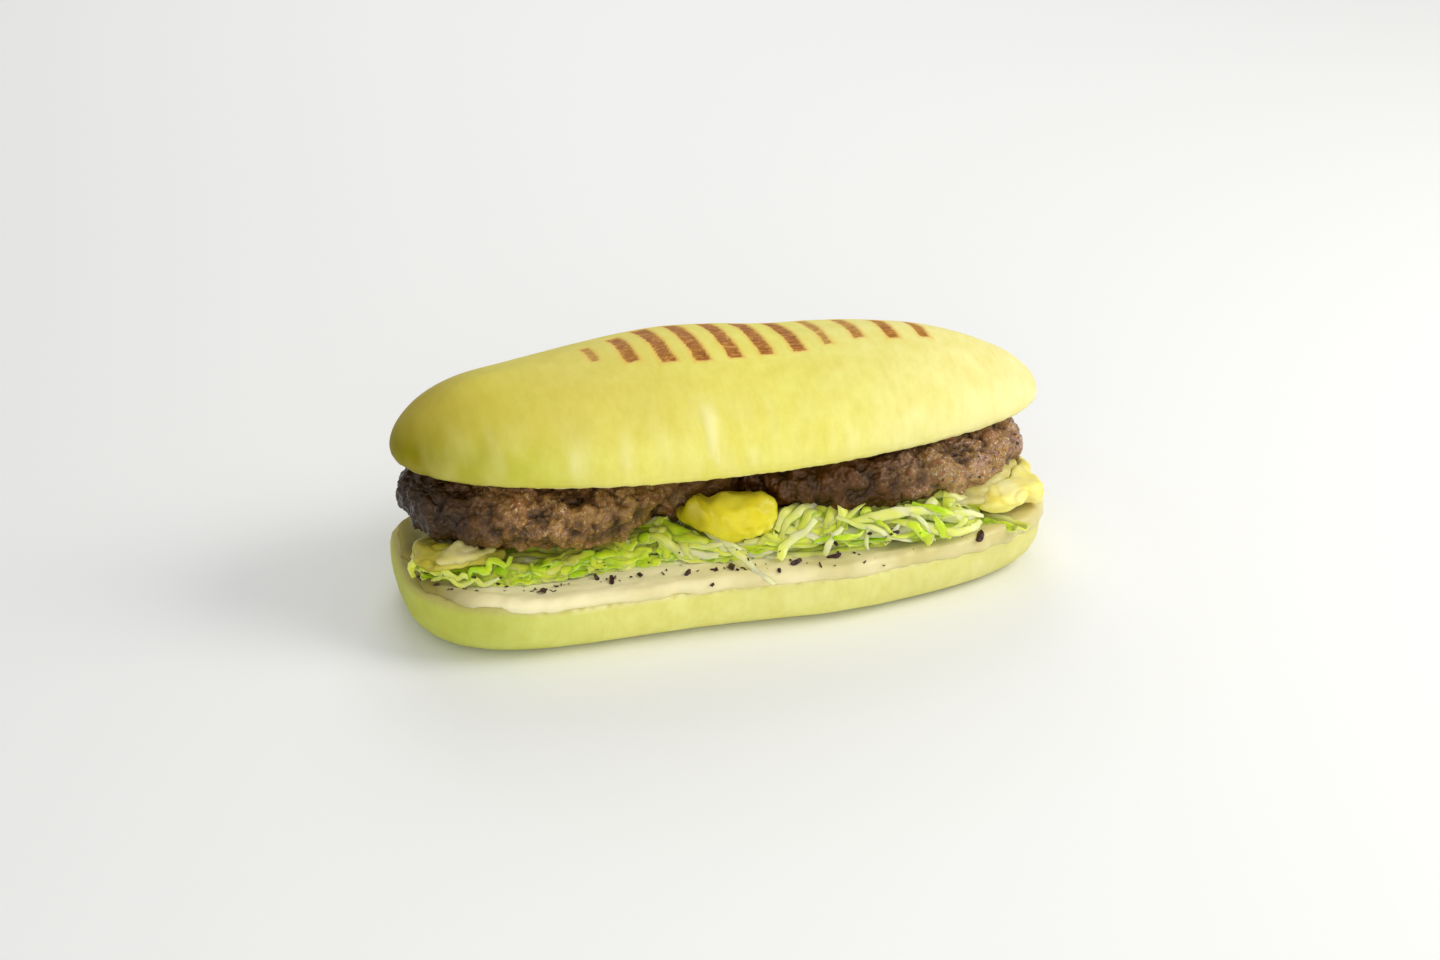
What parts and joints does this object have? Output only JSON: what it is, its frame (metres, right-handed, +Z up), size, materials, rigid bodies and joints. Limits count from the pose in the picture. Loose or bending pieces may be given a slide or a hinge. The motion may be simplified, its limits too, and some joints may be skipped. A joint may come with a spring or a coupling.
{
  "type": "kofta cheese sandwich",
  "caption": "Long grilled roll split lengthwise, filled with sesame sauce, shredded lettuce, melted cheese and oval kofta patties under a domed crown with grill marks.",
  "frame": {"origin": "on the surface the sandwich stands on, under the middle of its outline in plan", "axes": "+X along the roll to its right end, +Y to the back, away from the side that shows the filling most, +Z up"},
  "size_m": [0.2074, 0.0902, 0.0772],
  "materials": {
    "crust": "matte",
    "sauce": "satin",
    "lettuce": "satin",
    "meat": "satin",
    "cheese": "satin"
  },
  "bodies": {
    "root": {"base_roll": "crust", "sesame_sauce": "sauce", "lettuce_bed": "lettuce", "cheese_left": "cheese", "cheese_middle": "cheese", "cheese_right": "cheese", "kofta_left": "meat", "kofta_right": "meat", "crown_roll": "crust"}
  },
  "joints": []
}
